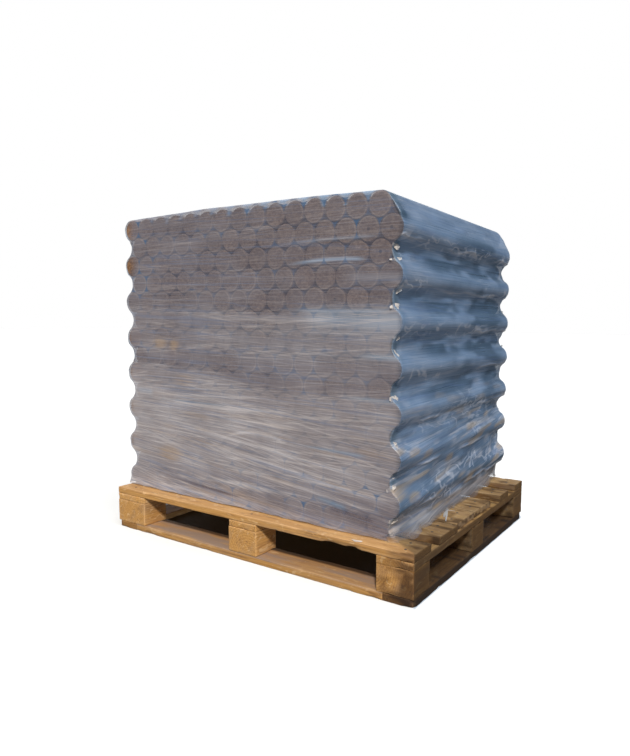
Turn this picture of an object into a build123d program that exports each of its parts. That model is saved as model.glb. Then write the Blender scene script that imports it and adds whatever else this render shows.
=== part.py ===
"""A loaded pallet: round fire logs stacked in staggered rows and wrapped in stretch film.

Millimetres, +Z up. The origin is on the floor under the middle of the pallet.
The front, where the log ends show, looks along -Y, and the rows run along X.
"""

import os
from math import atan2, cos, degrees, radians, sin, sqrt

from build123d import *

# Pallet timber
pallet_length = 1200.0
pallet_depth = 900.0
front_board_width = 105.0
second_board_width = 127.0
middle_board_width = 142.0
rear_board_width = 84.0
front_board_gap = 51.0
middle_board_gap = 7.0
middle_board_inset = 9.0
deck_board_thickness = 22.0
stringer_thickness = 22.0
left_block_width = 140.0
middle_block_width = 115.0
right_block_width = 115.0
block_height = 78.0
bottom_board_width = 95.0
bottom_board_thickness = 22.0
timber_edge_round = 1.5
bottom_corner_cut = 12.0

# Fire logs
log_diameter = 72.0
log_length = 280.0
log_side_gap = 0.4
log_end_gap = 1.0
log_row_gap = 0.3
logs_per_row = 15
rows_high = 15
logs_deep = 3
stack_front_inset = 55.0
stack_left_inset = 3.0

# Stretch film
film_thickness = 0.8
film_gap = 0.3
film_lip = 130.0
valley_depth_share = 0.8
cut_overrun = 5.0

# Heights and places that follow from the sizes above
stringer_z = bottom_board_thickness + block_height
deck_z = stringer_z + stringer_thickness
deck_top = deck_z + deck_board_thickness
pallet_left = -pallet_length / 2
pallet_right = pallet_length / 2
pallet_front = -pallet_depth / 2
pallet_back = pallet_depth / 2

log_radius = log_diameter / 2
log_pitch = log_diameter + log_side_gap
row_stagger = log_pitch / 2
row_rise = sqrt((log_diameter + log_row_gap) ** 2 - row_stagger**2)
layer_pitch = log_length + log_end_gap
stack_front = pallet_front + stack_front_inset
stack_depth = logs_deep * log_length + (logs_deep - 1) * log_end_gap
stack_back = stack_front + stack_depth
first_log_x = pallet_left + stack_left_inset + log_radius
row_span = (logs_per_row - 1) * log_pitch

standing = (Align.CENTER, Align.CENTER, Align.MIN)

os.makedirs("parts", exist_ok=True)


def row_height(row):
    """Height of a row's log axes, counted from 0 at the deck."""
    return deck_top + log_row_gap + log_radius + row * row_rise


def is_left_row(row):
    """Every other row, the lowest one among them, lies further to the left."""
    return row % 2 == 0


def first_axis(row):
    """Place along X of a row's first log axis."""
    return first_log_x if is_left_row(row) else first_log_x + row_stagger


def last_axis(row):
    """Place along X of a row's last log axis."""
    return first_axis(row) + row_span


def write(piece, name):
    """Label one finished piece and write it."""
    piece.part.label = name
    export_step(piece.part, f"parts/{name}.step")


# Deck boards of mixed widths, laid along the pallet: the two widest lie close together near the middle and
# end short of the others on the right, and the last one is flush with the back
deck_boards = [
    (0, front_board_width, 0),
    (front_board_gap, second_board_width, 0),
    (middle_board_gap, middle_board_width, middle_board_inset),
    (middle_board_gap, middle_board_width, middle_board_inset),
]
wide_boards_end = pallet_front + sum(gap + width for gap, width, inset in deck_boards)
rear_board_gap = (pallet_back - wide_boards_end - 2 * rear_board_width) / 2
deck_boards += 2 * [(rear_board_gap, rear_board_width, 0)]
board_edge = pallet_front
for number, (gap, width, inset) in enumerate(deck_boards, start=1):
    board_y = board_edge + gap + width / 2
    board_edge = board_edge + gap + width
    with BuildPart(Plane.XY.offset(deck_z)) as deck_board:
        with Locations((-inset / 2, board_y, 0)):
            Box(pallet_length - inset, width, deck_board_thickness, align=standing)
        fillet(deck_board.edges().filter_by(Axis.X), timber_edge_round)
    write(deck_board, f"deck_board_{number}")

# Stringer boards across the pallet, each over one line of blocks
columns = {
    "left": (pallet_left + left_block_width / 2, left_block_width),
    "middle": (0, middle_block_width),
    "right": (pallet_right - right_block_width / 2, right_block_width),
}
for side, (column_x, column_width) in columns.items():
    with BuildPart(Plane.XY.offset(stringer_z)) as stringer_board:
        with Locations((column_x, 0, 0)):
            Box(column_width, pallet_depth, stringer_thickness, align=standing)
        fillet(stringer_board.edges().filter_by(Axis.Y), timber_edge_round)
    write(stringer_board, f"stringer_board_{side}")

# Bottom boards across the pallet at both ends, with their outer corners cut off
for side, outer_x in (("left", pallet_left), ("right", pallet_right)):
    inward_sign = 1 if side == "left" else -1
    with BuildPart() as end_board:
        with BuildSketch(Plane.XY):
            with Locations((outer_x + inward_sign * bottom_board_width / 2, 0)):
                Rectangle(bottom_board_width, pallet_depth)
            outer_corners = vertices().filter_by_position(Axis.X, outer_x, outer_x)
            chamfer(outer_corners, bottom_corner_cut)
        extrude(amount=bottom_board_thickness)
        fillet(end_board.edges().filter_by(Axis.Y), timber_edge_round)
    write(end_board, f"bottom_board_{side}")

# Bottom boards along the pallet between those two, under each line of blocks, and the blocks on them
inner_board_length = pallet_length - 2 * bottom_board_width
lines = {
    "front": pallet_front + bottom_board_width / 2,
    "middle": 0,
    "back": pallet_back - bottom_board_width / 2,
}
for line, line_y in lines.items():
    with BuildPart() as bottom_board:
        with Locations((0, line_y, 0)):
            Box(inner_board_length, bottom_board_width, bottom_board_thickness, align=standing)
        fillet(bottom_board.edges().filter_by(Axis.X), timber_edge_round)
    write(bottom_board, f"bottom_board_{line}")
    for side, (column_x, column_width) in columns.items():
        with BuildPart(Plane.XY.offset(bottom_board_thickness)) as block:
            with Locations((column_x, line_y, 0)):
                Box(column_width, bottom_board_width, block_height, align=standing)
            fillet(block.edges().filter_by(Axis.Z), timber_edge_round)
        write(block, f"block_{line}_{side}")

# Rows of logs: round bars lying front to back, several deep, each row nested in the one below
for row in range(rows_high):
    layer_planes = [Plane.XZ.offset(-(stack_front + layer * layer_pitch)) for layer in range(logs_deep)]
    row_middle = (first_axis(row) + last_axis(row)) / 2
    with BuildPart() as log_row:
        with BuildSketch(*layer_planes):
            with Locations((row_middle, row_height(row))):
                with GridLocations(log_pitch, log_pitch, logs_per_row, 1):
                    Circle(log_radius)
        extrude(amount=-log_length)
    write(log_row, f"log_row_{row + 1:02d}")

# Stretch film: it rounds each log that stands out and dips towards the row that lies further in
valley_depth = valley_depth_share * row_stagger
reach = (row_rise**2 + valley_depth**2) / (2 * valley_depth)
valley_angle = degrees(atan2(row_rise, reach - valley_depth))
shoulder_angle = degrees(atan2(row_stagger, row_rise))
up_angle = 90
left_angle = 180


def around(centre, radius, angle):
    """Point on a circle, its angle counted in degrees from +X towards +Z."""
    return (centre[0] + radius * cos(radians(angle)), centre[1] + radius * sin(radians(angle)))


def arc_between(centre, radius, start_angle, end_angle):
    """Arc of a circle from one angle to another, added to the outline under way."""
    middle_angle = (start_angle + end_angle) / 2
    ThreePointArc(*[around(centre, radius, angle) for angle in (start_angle, middle_angle, end_angle)])


def film_outline(gap, foot_z):
    """Closed outline of the wrap seen from the front, a given gap away from the logs."""
    bulge = log_radius + gap
    valley = reach - bulge
    top_row = rows_high - 1
    with BuildLine() as outline:
        # Right side, from the deck up
        right_axis = last_axis(1)
        foot_x = right_axis + bulge - valley_depth
        foot_point = (foot_x, foot_z)
        Line(foot_point, (foot_x, row_height(0)))
        for row in range(rows_high):
            height = row_height(row)
            if is_left_row(row) and row < top_row:
                centre = (right_axis + reach - valley_depth, height)
                start_angle = left_angle if row == 0 else left_angle + valley_angle
                arc_between(centre, valley, start_angle, left_angle - valley_angle)
            elif row < top_row:
                end_angle = shoulder_angle if row == top_row - 1 else valley_angle
                arc_between((right_axis, height), bulge, -valley_angle, end_angle)
            else:
                row_below = (right_axis, height - row_rise)
                shoulder = (last_axis(row), height)
                Line(around(row_below, bulge, shoulder_angle), around(shoulder, bulge, shoulder_angle))
                arc_between(shoulder, bulge, shoulder_angle, up_angle)
        # Across the top, then down the left side
        left_axis = first_axis(0)
        top_height = row_height(top_row)
        Line((last_axis(top_row), top_height + bulge), (left_axis, top_height + bulge))
        for row in range(top_row, -1, -1):
            height = row_height(row)
            if is_left_row(row):
                start_angle = up_angle if row == top_row else left_angle - valley_angle
                end_angle = left_angle if row == 0 else left_angle + valley_angle
                arc_between((left_axis, height), bulge, start_angle, end_angle)
            else:
                centre = (left_axis - reach + valley_depth, height)
                arc_between(centre, valley, valley_angle, -valley_angle)
        Line((left_axis - bulge, row_height(0)), (left_axis - bulge, foot_z))
        Line((left_axis - bulge, foot_z), foot_point)
    return outline


film_inner_gap = film_gap
film_outer_gap = film_gap + film_thickness
outer_outline = film_outline(film_outer_gap, deck_top)
inner_outline = film_outline(film_inner_gap, deck_top - cut_overrun)
top_row_left = first_axis(rows_high - 1) - log_radius
top_row_right = last_axis(rows_high - 1) + log_radius
top_row_crown = row_height(rows_high - 1) + log_radius
with BuildPart() as stretch_film:
    with BuildSketch(Plane.XZ.offset(-(stack_front - film_outer_gap))):
        add(outer_outline.line)
        make_face()
    extrude(amount=-(stack_depth + 2 * film_outer_gap))
    with BuildSketch(Plane.XZ.offset(-(stack_front - film_inner_gap))):
        add(inner_outline.line)
        make_face()
    extrude(amount=-(stack_depth + 2 * film_inner_gap), mode=Mode.SUBTRACT)
    with BuildSketch(Plane.XY.offset(top_row_crown)):
        with Locations(((top_row_left + top_row_right) / 2, (stack_front + stack_back) / 2)):
            Rectangle(top_row_right - top_row_left - 2 * film_lip, stack_depth - 2 * film_lip)
    extrude(amount=film_outer_gap + cut_overrun, mode=Mode.SUBTRACT)
write(stretch_film, "stretch_film")
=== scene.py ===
# %% [markdown]
# # A pallet of fire logs under stretch film
#
# Round bars of pressed sawdust lie in staggered rows on a wooden pallet, and a length of clear film is
# wound round the stack to hold it. The packed model gives every place and size. This lesson gives the
# looks, one kind of piece at a time, and each shape is a formula that numpy works out as whole arrays.

# %% Load the frame
from itertools import product
from math import atan2, radians

import bpy
import numpy as np
from mathutils import Matrix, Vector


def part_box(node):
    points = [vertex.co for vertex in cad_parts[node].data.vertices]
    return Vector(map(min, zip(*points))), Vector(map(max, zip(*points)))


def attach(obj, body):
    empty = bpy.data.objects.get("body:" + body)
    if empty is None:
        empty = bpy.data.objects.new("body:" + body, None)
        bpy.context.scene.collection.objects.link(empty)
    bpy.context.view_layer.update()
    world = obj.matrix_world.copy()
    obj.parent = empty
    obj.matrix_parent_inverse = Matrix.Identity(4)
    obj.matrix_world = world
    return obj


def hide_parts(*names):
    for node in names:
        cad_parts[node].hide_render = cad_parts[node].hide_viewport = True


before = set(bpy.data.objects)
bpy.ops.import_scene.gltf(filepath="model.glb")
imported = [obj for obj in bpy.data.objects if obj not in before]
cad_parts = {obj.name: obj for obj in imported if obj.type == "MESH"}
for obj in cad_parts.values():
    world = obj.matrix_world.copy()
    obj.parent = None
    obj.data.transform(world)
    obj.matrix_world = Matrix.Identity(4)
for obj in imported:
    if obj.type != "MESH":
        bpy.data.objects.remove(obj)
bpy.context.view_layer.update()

# %% [markdown]
# The camera stands where the photo was taken: a little above the middle of the stack and off its right
# front corner. Its place and turn were solved from the pallet's corners and the bumps of the wrapped rows.
# They are written here as plain angles, so that a reader can turn the view by hand. A camera could also be
# aimed with a Track To constraint, but that hides the small roll that a hand-held picture has.

# %% Camera
image_size = (630, 756)
eye = (1.2899, -1.8112, 0.7435)
yaw, pitch, roll = radians(-31.762), radians(5.212), radians(0.534)
focal_pixels = 607.9
image_centre = (365.7, 377.6)
sensor_width = 36.0

forward = np.array([np.sin(yaw) * np.cos(pitch), np.cos(yaw) * np.cos(pitch), -np.sin(pitch)])
level_right = np.array([np.cos(yaw), -np.sin(yaw), 0.0])
level_up = np.cross(level_right, forward)
right_axis = np.cos(roll) * level_right + np.sin(roll) * level_up
up_axis = np.cos(roll) * level_up - np.sin(roll) * level_right

camera = bpy.data.objects.new("camera", bpy.data.cameras.new("camera"))
bpy.context.collection.objects.link(camera)
turn = np.column_stack([right_axis, up_axis, -forward])
camera.matrix_world = Matrix.Translation(eye) @ Matrix(turn.tolist()).to_4x4()
camera.data.sensor_width = sensor_width
camera.data.lens = focal_pixels * sensor_width / image_size[1]
camera.data.shift_x = (image_size[0] / 2 - image_centre[0]) / image_size[1]
camera.data.shift_y = (image_centre[1] - image_size[1] / 2) / image_size[1]
bpy.context.scene.camera = camera
print("lens", round(camera.data.lens, 2), "mm, shift", round(camera.data.shift_x, 4))

# %% [markdown]
# Three helpers serve every piece. One turns arrays of points and faces into a mesh that rides on the body.
# One gives the quads of a grid. One gives smooth random values, which bend boards, wrinkle film and vary
# logs. Blender's own noise is a shader, so the shapes need a small noise of their own, with a fixed seed.

# %% Mesh and noise helpers
def add_piece(name, points, face_sets, material, values=None, sharp=None):
    """One mesh from an array of points and arrays of faces, each array holding faces of one size."""
    corners = np.concatenate([faces.ravel() for faces in face_sets])
    sizes = np.concatenate([np.full(len(faces), faces.shape[1]) for faces in face_sets])
    mesh = bpy.data.meshes.new(name)
    mesh.vertices.add(len(points))
    mesh.vertices.foreach_set("co", np.asarray(points, np.float32).ravel())
    mesh.loops.add(len(corners))
    mesh.loops.foreach_set("vertex_index", corners.astype(np.int32))
    mesh.polygons.add(len(sizes))
    mesh.polygons.foreach_set("loop_start", (np.cumsum(sizes) - sizes).astype(np.int32))
    mesh.update(calc_edges=True)
    mesh.validate()
    mesh.shade_smooth()
    if sharp is not None:
        mesh.set_sharp_from_angle(angle=radians(sharp))
    for key, array in (values or {}).items():
        kind, field = ("FLOAT_VECTOR", "vector") if np.ndim(array) == 2 else ("FLOAT", "value")
        attribute = mesh.attributes.new(key, kind, "POINT")
        attribute.data.foreach_set(field, np.asarray(array, np.float32).ravel())
    mesh.materials.append(material)
    piece = bpy.data.objects.new(name, mesh)
    bpy.context.collection.objects.link(piece)
    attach(piece, "root")
    return piece


def grid_quads(rows, columns, closed=False):
    """Quads between neighbours of a rows by columns grid, the last column joined to the first if closed."""
    index = np.arange(rows * columns).reshape(rows, columns)
    if closed:
        index = np.hstack([index, index[:, :1]])
    corners = [index[:-1, :-1], index[:-1, 1:], index[1:, 1:], index[1:, :-1]]
    return np.stack(corners, axis=-1).reshape(-1, 4)


def lattice_noise(seed, *coordinates):
    """Smooth random field from 0 to 1: random values on a lattice of whole numbers, blended between
    lattice points with the easing curve 3f squared minus 2f cubed along each coordinate."""
    rng = np.random.default_rng(seed)
    order, value = rng.permutation(256), rng.random(256)
    cells = [np.floor(c).astype(int) for c in coordinates]
    shares = [c - cell for c, cell in zip(coordinates, cells)]
    eased = [share**2 * (3 - 2 * share) for share in shares]
    total = 0.0
    for corner in product((0, 1), repeat=len(cells)):
        key, weight = 0, 1.0
        for cell, ease, step in zip(cells, eased, corner):
            key = order[(key + cell + step) % 256]
            weight = weight * (ease if step else 1 - ease)
        total = total + weight * value[key]
    return total


def ramp(values, low, high):
    """0 below low, 1 above high, eased between them. High may be the smaller one."""
    share = np.clip((values - low) / (high - low), 0, 1)
    return share**2 * (3 - 2 * share)


print("noise sample", np.round(lattice_noise(1, np.array([0.2, 3.7])), 3))

# %% [markdown]
# A finish is a network of shader nodes. Writing every link by hand makes long code, so a small class keeps
# one material's tree and adds one node per call: the call names the node type, its settings and its
# inputs, where an input is a number or another node's output. Constants go straight onto the shader.

# %% Material helper
class Finish:
    """A material and short calls that add nodes to it."""

    def __init__(self, name, **sockets):
        self.material = bpy.data.materials.new(name)
        self.material.use_nodes = True
        self.nodes = self.material.node_tree.nodes
        self.links = self.material.node_tree.links
        self.shader = self.nodes["Principled BSDF"]
        for socket, value in sockets.items():
            self.shader.inputs[socket.replace("_", " ")].default_value = value

    def plug(self, source, socket):
        """Link an output, or set a plain value, on an input socket."""
        if isinstance(source, bpy.types.NodeSocket):
            self.links.new(source, socket)
        else:
            socket.default_value = source

    def add(self, kind, inputs, output=0, **settings):
        """Add one node, fill its inputs by name or number, and give back one of its outputs."""
        node = self.nodes.new(kind)
        for key, value in settings.items():
            setattr(node, key, value)
        for key, source in inputs.items():
            self.plug(source, node.inputs[key])
        return node.outputs[output]

    def attribute(self, name, output="Fac"):
        return self.add("ShaderNodeAttribute", {}, output, attribute_name=name)

    def place(self):
        return self.add("ShaderNodeTexCoord", {}, "Object")

    def scaled(self, vector, scale, location=(0, 0, 0)):
        return self.add("ShaderNodeMapping", {"Vector": vector, "Scale": scale, "Location": location})

    def noise(self, vector, scale=1.0, detail=3.0, roughness=0.55, distortion=0.0):
        inputs = {"Vector": vector, "Scale": scale, "Detail": detail}
        inputs |= {"Roughness": roughness, "Distortion": distortion}
        return self.add("ShaderNodeTexNoise", inputs)

    def maths(self, operation, first, second=0.0, third=0.0, clamp=False):
        inputs = {0: first, 1: second, 2: third}
        return self.add("ShaderNodeMath", inputs, operation=operation, use_clamp=clamp)

    def remap(self, value, low, high, to_low=0.0, to_high=1.0):
        inputs = {"Value": value, "From Min": low, "From Max": high, "To Min": to_low, "To Max": to_high}
        return self.add("ShaderNodeMapRange", inputs, interpolation_type="SMOOTHSTEP")

    def blend(self, share, first, second, mode="MIX"):
        node = self.nodes.new("ShaderNodeMix")
        node.data_type, node.blend_type = "RGBA", mode
        self.plug(share, node.inputs[0])
        self.plug(first, node.inputs[6])
        self.plug(second, node.inputs[7])
        return node.outputs[2]

    def bump(self, height, strength, distance):
        return self.add("ShaderNodeBump", {"Height": height, "Strength": strength, "Distance": distance})

    def wire(self, **sources):
        """Link outputs to the shader's own sockets."""
        for socket, source in sources.items():
            self.links.new(source, self.shader.inputs[socket.replace("_", " ")])


def colour(red, green, blue):
    return (red, green, blue, 1.0)


print("finish calls:", [name for name in vars(Finish) if not name.startswith("_")])

# %% [markdown]
# A fire log is sawdust pressed through a round die, so its end is flat and speckled with chips and its
# skin is darker and drawn out along its length. The finish reads two values from the mesh: how far a point
# is from the log's axis, for the scorched rim and the small core mark, and a tone that differs per log.

# %% Pressed sawdust finish
def sawdust_finish():
    finish = Finish("pressed_sawdust", Roughness=0.85)
    place = finish.place()
    radial, tone = finish.attribute("radial"), finish.attribute("tone")
    chips = finish.noise(finish.scaled(place, (95, 40, 150)), detail=4)
    grain = finish.noise(finish.scaled(place, (420, 60, 420)), detail=2)
    chip_share = finish.remap(chips, 0.3, 0.72)
    body = finish.blend(chip_share, colour(0.19, 0.125, 0.088), colour(0.43, 0.315, 0.235))
    dusted = finish.blend(finish.remap(grain, 0.35, 0.75, 0.0, 0.5), body, colour(0.13, 0.08, 0.055))
    core = finish.maths("MULTIPLY", finish.remap(radial, 0.17, 0.1), finish.attribute("core"))
    rim = finish.remap(radial, 0.90, 0.99, 0.0, 0.3)
    scorched = finish.blend(rim, dusted, colour(0.10, 0.052, 0.026))
    marked = finish.blend(core, scorched, colour(0.05, 0.03, 0.02))
    grey = finish.add("ShaderNodeCombineColor", {0: tone, 1: tone, 2: tone})
    toned = finish.blend(1.0, marked, grey, "MULTIPLY")
    warmed = finish.blend(finish.attribute("warm"), toned, colour(0.90, 0.60, 0.28), "MULTIPLY")
    finish.wire(Base_Color=warmed, Normal=finish.bump(chips, 0.5, 0.0015))
    return finish.material


log_finish = sawdust_finish()
print("finish:", log_finish.name)

# %% [markdown]
# A log could be a cylinder primitive with a bevel, copied hundreds of times. Here all logs of a row are one
# mesh: a short profile (end centre, rim, body, far end) turned about each log's axis, with the angle and the
# profile as the two parameters. Only the ends that face outward get the bevelled rim, so a log has a few
# dozen faces. Small random shifts of the ends break the ruler-straight look of a computed stack.

# %% Log sizes and places
log_low, log_high = (np.array(corner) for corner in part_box("log_row_01"))
second_low = np.array(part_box("log_row_02")[0])
deck_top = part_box("deck_board_1")[1][2]
rows_high, logs_per_row, logs_deep = 15, 15, 3
log_radius = (log_high[2] - log_low[2]) / 2
row_rise = second_low[2] - log_low[2]
row_stagger = second_low[0] - log_low[0]
log_pitch = 2 * row_stagger
stack_front, stack_back = log_low[1], log_high[1]
log_end_gap = 0.001
layer_pitch = (stack_back - stack_front + log_end_gap) / logs_deep
log_length = layer_pitch - log_end_gap
lowest_axis = log_low[2] + log_radius
left_axis_x = log_low[0] + log_radius
rim_bevel = 0.003
log_sides = 18
# Logs with a dark core mark: row and number in the row
core_marks = {(13, 14), (13, 13), (12, 14), (10, 12), (8, 6), (5, 13), (11, 9)}


def row_axis(row):
    return lowest_axis + row * row_rise


def first_axis(row):
    return left_axis_x + (row % 2) * row_stagger


# Places with hardly any film, where the logs look warm: x, z, half width, half height and cover lost
bare_spots = [(-0.588, 1.059, 0.026, 0.034, 0.6), (-0.586, 0.931, 0.034, 0.034, 0.6)]
bare_spots += [(-0.590, row_axis(row), 0.014, 0.026, 0.3) for row in (2, 4, 6, 8)]
print("log radius", round(log_radius, 4), "length", round(log_length, 3), "row rise", round(row_rise, 4))

# %% [markdown]
# One log has a centre point on its outward end and three rings: the rim, the bevel's foot and the far end.
# The faces are the same for every log, so they are counted once and shifted by the number of points.

# %% Log shapes
def log_faces(logs, facing_front):
    """Faces of like logs, each with an end centre and three rings: fan, bevel, body and a plain far end."""
    around = np.arange(log_sides)
    after = (around + 1) % log_sides
    ring = [1 + k * log_sides + around for k in range(3)]
    ring_after = [1 + k * log_sides + after for k in range(3)]
    fan = np.column_stack([np.zeros(log_sides, int), ring[0], ring_after[0]])
    bands = [np.column_stack([ring[k], ring[k + 1], ring_after[k + 1], ring_after[k]]) for k in (0, 1)]
    far_end = ring[2][None, ::-1]
    start = (np.arange(logs) * (1 + 3 * log_sides))[:, None, None]
    sets = [(faces[None] + start).reshape(-1, faces.shape[1]) for faces in (fan, np.vstack(bands), far_end)]
    return sets if facing_front else [faces[:, ::-1] for faces in sets]


def log_layer(row, layer, rng):
    """Points of one row's logs in one layer: ring k at angle a lies at axis + radius(k) * (cos a, sin a),
    a distance along(k) from the outward end. The end's centre and rim are pushed in a little at random."""
    facing_front = layer < logs_deep - 1
    shape = (logs_per_row, 1, 1)
    sink = rng.uniform(0, 0.0035, shape) if layer != 1 else np.zeros(shape)
    radius = np.array([log_radius - rim_bevel, log_radius, log_radius])[None, :, None]
    along = np.array([0, rim_bevel, log_length])[None, :, None] + sink * np.array([1, 1, 0])[None, :, None]
    angle = 2 * np.pi * np.arange(log_sides)[None, None, :] / log_sides + rng.uniform(0, 1, shape)
    along = along + 0 * angle
    along[:, 0] += rng.uniform(0, 0.001, (logs_per_row, log_sides))
    axis_x = first_axis(row) + log_pitch * np.arange(logs_per_row)[:, None, None]
    near, far = stack_front + layer * layer_pitch, stack_front + layer * layer_pitch + log_length
    depth = near + along if facing_front else far - along
    ring_x, ring_z = axis_x + radius * np.cos(angle), row_axis(row) + radius * np.sin(angle)
    rings = np.stack([ring_x, depth, ring_z], axis=-1)
    inward = sink[:, 0, 0] + rng.uniform(0, 0.0015, logs_per_row)
    centre_y = near + inward if facing_front else far - inward
    centres = np.column_stack([axis_x[:, 0, 0], centre_y, np.full(logs_per_row, row_axis(row))])
    points = np.concatenate([centres[:, None], rings.reshape(logs_per_row, -1, 3)], axis=1)
    return points, facing_front


print("faces per log:", sum(len(faces) for faces in log_faces(1, True)))

# %% Log rows
def add_log_row(row):
    """All logs of one row as one mesh, with their tones."""
    rng = np.random.default_rng(100 + row)
    layers, face_sets, start = [], [[], [], []], 0
    for layer in range(logs_deep):
        points, facing_front = log_layer(row, layer, rng)
        for kept, faces in zip(face_sets, log_faces(logs_per_row, facing_front)):
            kept.append(faces + start)
        layers.append(points)
        start += points.shape[0] * points.shape[1]
    points = np.concatenate(layers)
    per_log = points.shape[1]
    radial = np.concatenate([[0.0], np.full(log_sides, 0.92), np.full(2 * log_sides, 1.0)])
    tone = rng.uniform(0.84, 1.12, len(points))
    core = np.array([float((row, index % logs_per_row) in core_marks) for index in range(len(points))])
    values = {"radial": np.tile(radial, len(points)), "tone": np.repeat(tone, per_log)}
    values["core"] = np.repeat(core, per_log)
    axis_x = first_axis(row) + log_pitch * (np.arange(len(points)) % logs_per_row)
    from_spots = [((axis_x - x) / 0.05) ** 2 + ((row_axis(row) - z) / 0.04) ** 2 for x, z, *_ in bare_spots]
    values["warm"] = np.repeat(np.exp(-np.min(from_spots, axis=0)), per_log)
    merged = [np.vstack(kept) for kept in face_sets]
    name = f"fire_logs_{row + 1:02d}"
    piece = add_piece(name, points.reshape(-1, 3), merged, log_finish, values, sharp=35)
    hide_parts(f"log_row_{row + 1:02d}")
    return len(points)


log_count = sum(add_log_row(row) for row in range(rows_high))
print("logs:", log_count)

# %% [markdown]
# The pallet is rough sawn softwood, and its grain runs through the wood, not over it: rings that show as
# arcs on an end are the same rings that run as lines along the face. So the finish is solid. Each timber
# stores its own grain coordinates, with the first along the grain and the other two measured from the
# middle of the tree, and the rings are a wave in the distance from that middle, bent by noise.

# %% Sawn softwood finish
def timber_finish():
    finish = Finish("sawn_softwood", Roughness=0.78)
    grain = finish.attribute("grain", "Vector")
    tone, wear = finish.attribute("tone"), finish.attribute("wear")
    bend = finish.noise(finish.scaled(grain, (3.0, 14, 14)), detail=2)
    across = finish.scaled(grain, (0.0, 1.0, 1.0))
    distance = finish.add("ShaderNodeVectorMath", {0: across}, "Value", operation="LENGTH")
    bent = finish.maths("MULTIPLY_ADD", bend, 0.022, distance)
    ring_spacing = 0.0075
    wave = finish.maths("SINE", finish.maths("MULTIPLY", bent, 2 * np.pi / ring_spacing))
    rings = finish.remap(wave, -0.5, 1.0, 0.0, 0.6)
    fibre = finish.noise(finish.scaled(grain, (9, 330, 330)), detail=3)
    patch = finish.noise(finish.scaled(grain, (4, 26, 26)), detail=4, roughness=0.6)
    wood = finish.blend(rings, colour(0.60, 0.325, 0.10), colour(0.45, 0.22, 0.06))
    fibred = finish.blend(finish.remap(fibre, 0.42, 0.72, 0, 0.6), wood, colour(0.27, 0.115, 0.03))
    stain = finish.noise(finish.scaled(grain, (14, 75, 75)), detail=3, roughness=0.65)
    stained = finish.blend(finish.remap(stain, 0.56, 0.70, 0, 0.7), fibred, colour(0.25, 0.12, 0.045))
    aged = finish.blend(finish.remap(patch, 0.46, 0.74, 0, 0.6), stained, colour(0.31, 0.175, 0.085))
    crack = finish.noise(finish.scaled(grain, (5, 130, 130)), detail=2)
    cracked = finish.blend(finish.remap(crack, 0.66, 0.72, 0, 0.75), aged, colour(0.09, 0.045, 0.02))
    flake = finish.noise(finish.scaled(grain, (26, 60, 60)), detail=3, distortion=1.2)
    pale = finish.blend(finish.remap(flake, 0.58, 0.68, 0, 0.6), cracked, colour(0.72, 0.50, 0.27))
    worn = finish.maths("MULTIPLY", wear, finish.remap(patch, 0.35, 0.6))
    flaked = finish.blend(worn, pale, colour(0.60, 0.37, 0.18))
    dust_patches = finish.remap(patch, 0.62, 0.42, 0.2, 1.0)
    dust_share = finish.maths("MULTIPLY", finish.attribute("dust"), dust_patches)
    dusty = finish.blend(dust_share, flaked, colour(0.32, 0.222, 0.168))
    redder = {0: tone, 1: finish.maths("POWER", tone, 1.14), 2: finish.maths("POWER", tone, 1.4)}
    toned = finish.blend(1.0, dusty, finish.add("ShaderNodeCombineColor", redder), "MULTIPLY")
    relief = finish.maths("MULTIPLY_ADD", rings, 0.35, fibre)
    finish.wire(Base_Color=toned, Normal=finish.bump(relief, 0.55, 0.0012))
    return finish.material


wood_finish = timber_finish()
print("finish:", wood_finish.name)

# %% [markdown]
# A board could be a cube with a Bevel modifier, but then every edge is alike. Here a board is a closed box
# of six grids welded at their edges, and one formula moves its points: edges are rounded by an amount that
# wanders along them, the faces swell and dip as a saw leaves them, and chips are bitten out of the edges
# where a noise is high. All moves go inward, so the board keeps its place and size.

# %% Box grids
def edge_lines(low, high, step, edge):
    """Grid lines along one side: close together at both ends, even between them."""
    count = max(int(round((high - low - 2 * edge) / step)), 2)
    near = low + edge * np.array([0.0, 0.3])
    return np.concatenate([near, np.linspace(low + edge, high - edge, count + 1), (low + high - near)[::-1]])


def box_grid(lines):
    """Points and quads of a closed box: six grids over the given lines, welded where they meet."""
    points, quads, start = [], [], 0
    for axis, (first, second) in enumerate([(1, 2), (2, 0), (0, 1)]):
        a, b = np.meshgrid(lines[first], lines[second], indexing="ij")
        cells = grid_quads(*a.shape)
        for end in (0, -1):
            patch = np.empty(a.shape + (3,))
            patch[..., axis], patch[..., first], patch[..., second] = lines[axis][end], a, b
            points.append(patch.reshape(-1, 3))
            quads.append((cells if end == 0 else cells[:, ::-1]) + start)
            start += a.size
    welded, place = np.unique(np.concatenate(points).round(6), axis=0, return_inverse=True)
    return welded, place.ravel()[np.concatenate(quads)]


print("quads of a two by two by two box:", len(box_grid([np.linspace(0, 1, 3)] * 3)[1]))

# %% [markdown]
# The wear of one timber is worked out on its box grid. The front deck board has a broken lower edge, and
# the bottom boards at the ends have cut corners. Dust lies on the bottom boards, and painted shade darkens
# the back of the front one and all of the middle one, under the load.

# %% Worn timbers
bottom_cut = 0.012
# A depth past the whole pallet, so that no painted shade is added
no_painted_shade = 9.0


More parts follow.
